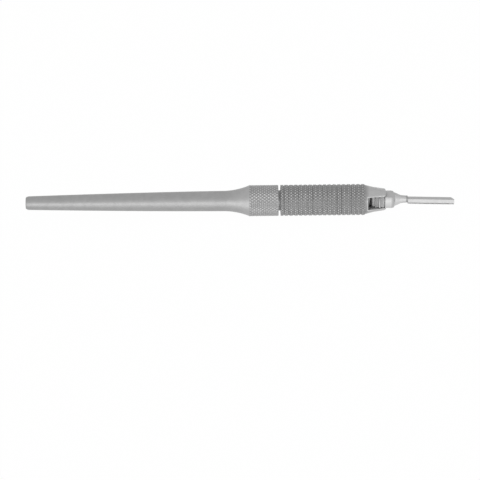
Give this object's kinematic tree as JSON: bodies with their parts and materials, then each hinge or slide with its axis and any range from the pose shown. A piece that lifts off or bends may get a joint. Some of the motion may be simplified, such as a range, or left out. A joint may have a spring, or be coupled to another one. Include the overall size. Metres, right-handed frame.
{
  "type": "angle-adjusting scalpel handle",
  "caption": "Slim round steel scalpel handle with a ribbed grip, a screw lock and a toothed head that swings in a fork and carries the blade tang.",
  "frame": {"origin": "centre of the tail's flat end face, on the handle's axis", "axes": "+X along the handle from the tail to the blade tang, +Z along the axis of the fork's pivot, +Y across it"},
  "size_m": [0.1648, 0.0122, 0.0122],
  "materials": {
    "handle_steel": "satin",
    "grip_steel": "satin, knurled",
    "head_steel": "fine satin",
    "rod_steel": "turned",
    "bush_steel": "turned",
    "pin_steel": "dressed flush"
  },
  "bodies": {
    "grip": {"front_grip": "grip_steel", "pivot_pin": "pin_steel"},
    "rod": {"lock_rod": "rod_steel"},
    "handle": {"rear_handle": "handle_steel", "rod_retaining_bush": "bush_steel"},
    "head": {"blade_carrier": "head_steel"}
  },
  "joints": [
    {"name": "lock_slide", "type": "slide", "parent": "grip", "child": "rod", "axis": [1, 0, 0], "range_m": [0, 0.00078]},
    {"name": "handle_turn", "type": "hinge", "parent": "rod", "child": "handle", "pos_m": [0.09716, 0, 0], "axis": [1, 0, 0], "range_deg": [0, 280.8]},
    {"name": "head_swing", "type": "hinge", "parent": "grip", "child": "head", "pos_m": [0.13606, 0, 0], "axis": [0, 0, -1], "range_deg": [-60, 90]}
  ],
  "couplings": [
    {"joint": "handle_turn", "follows": "lock_slide", "rad_per_m": 6283.2}
  ]
}
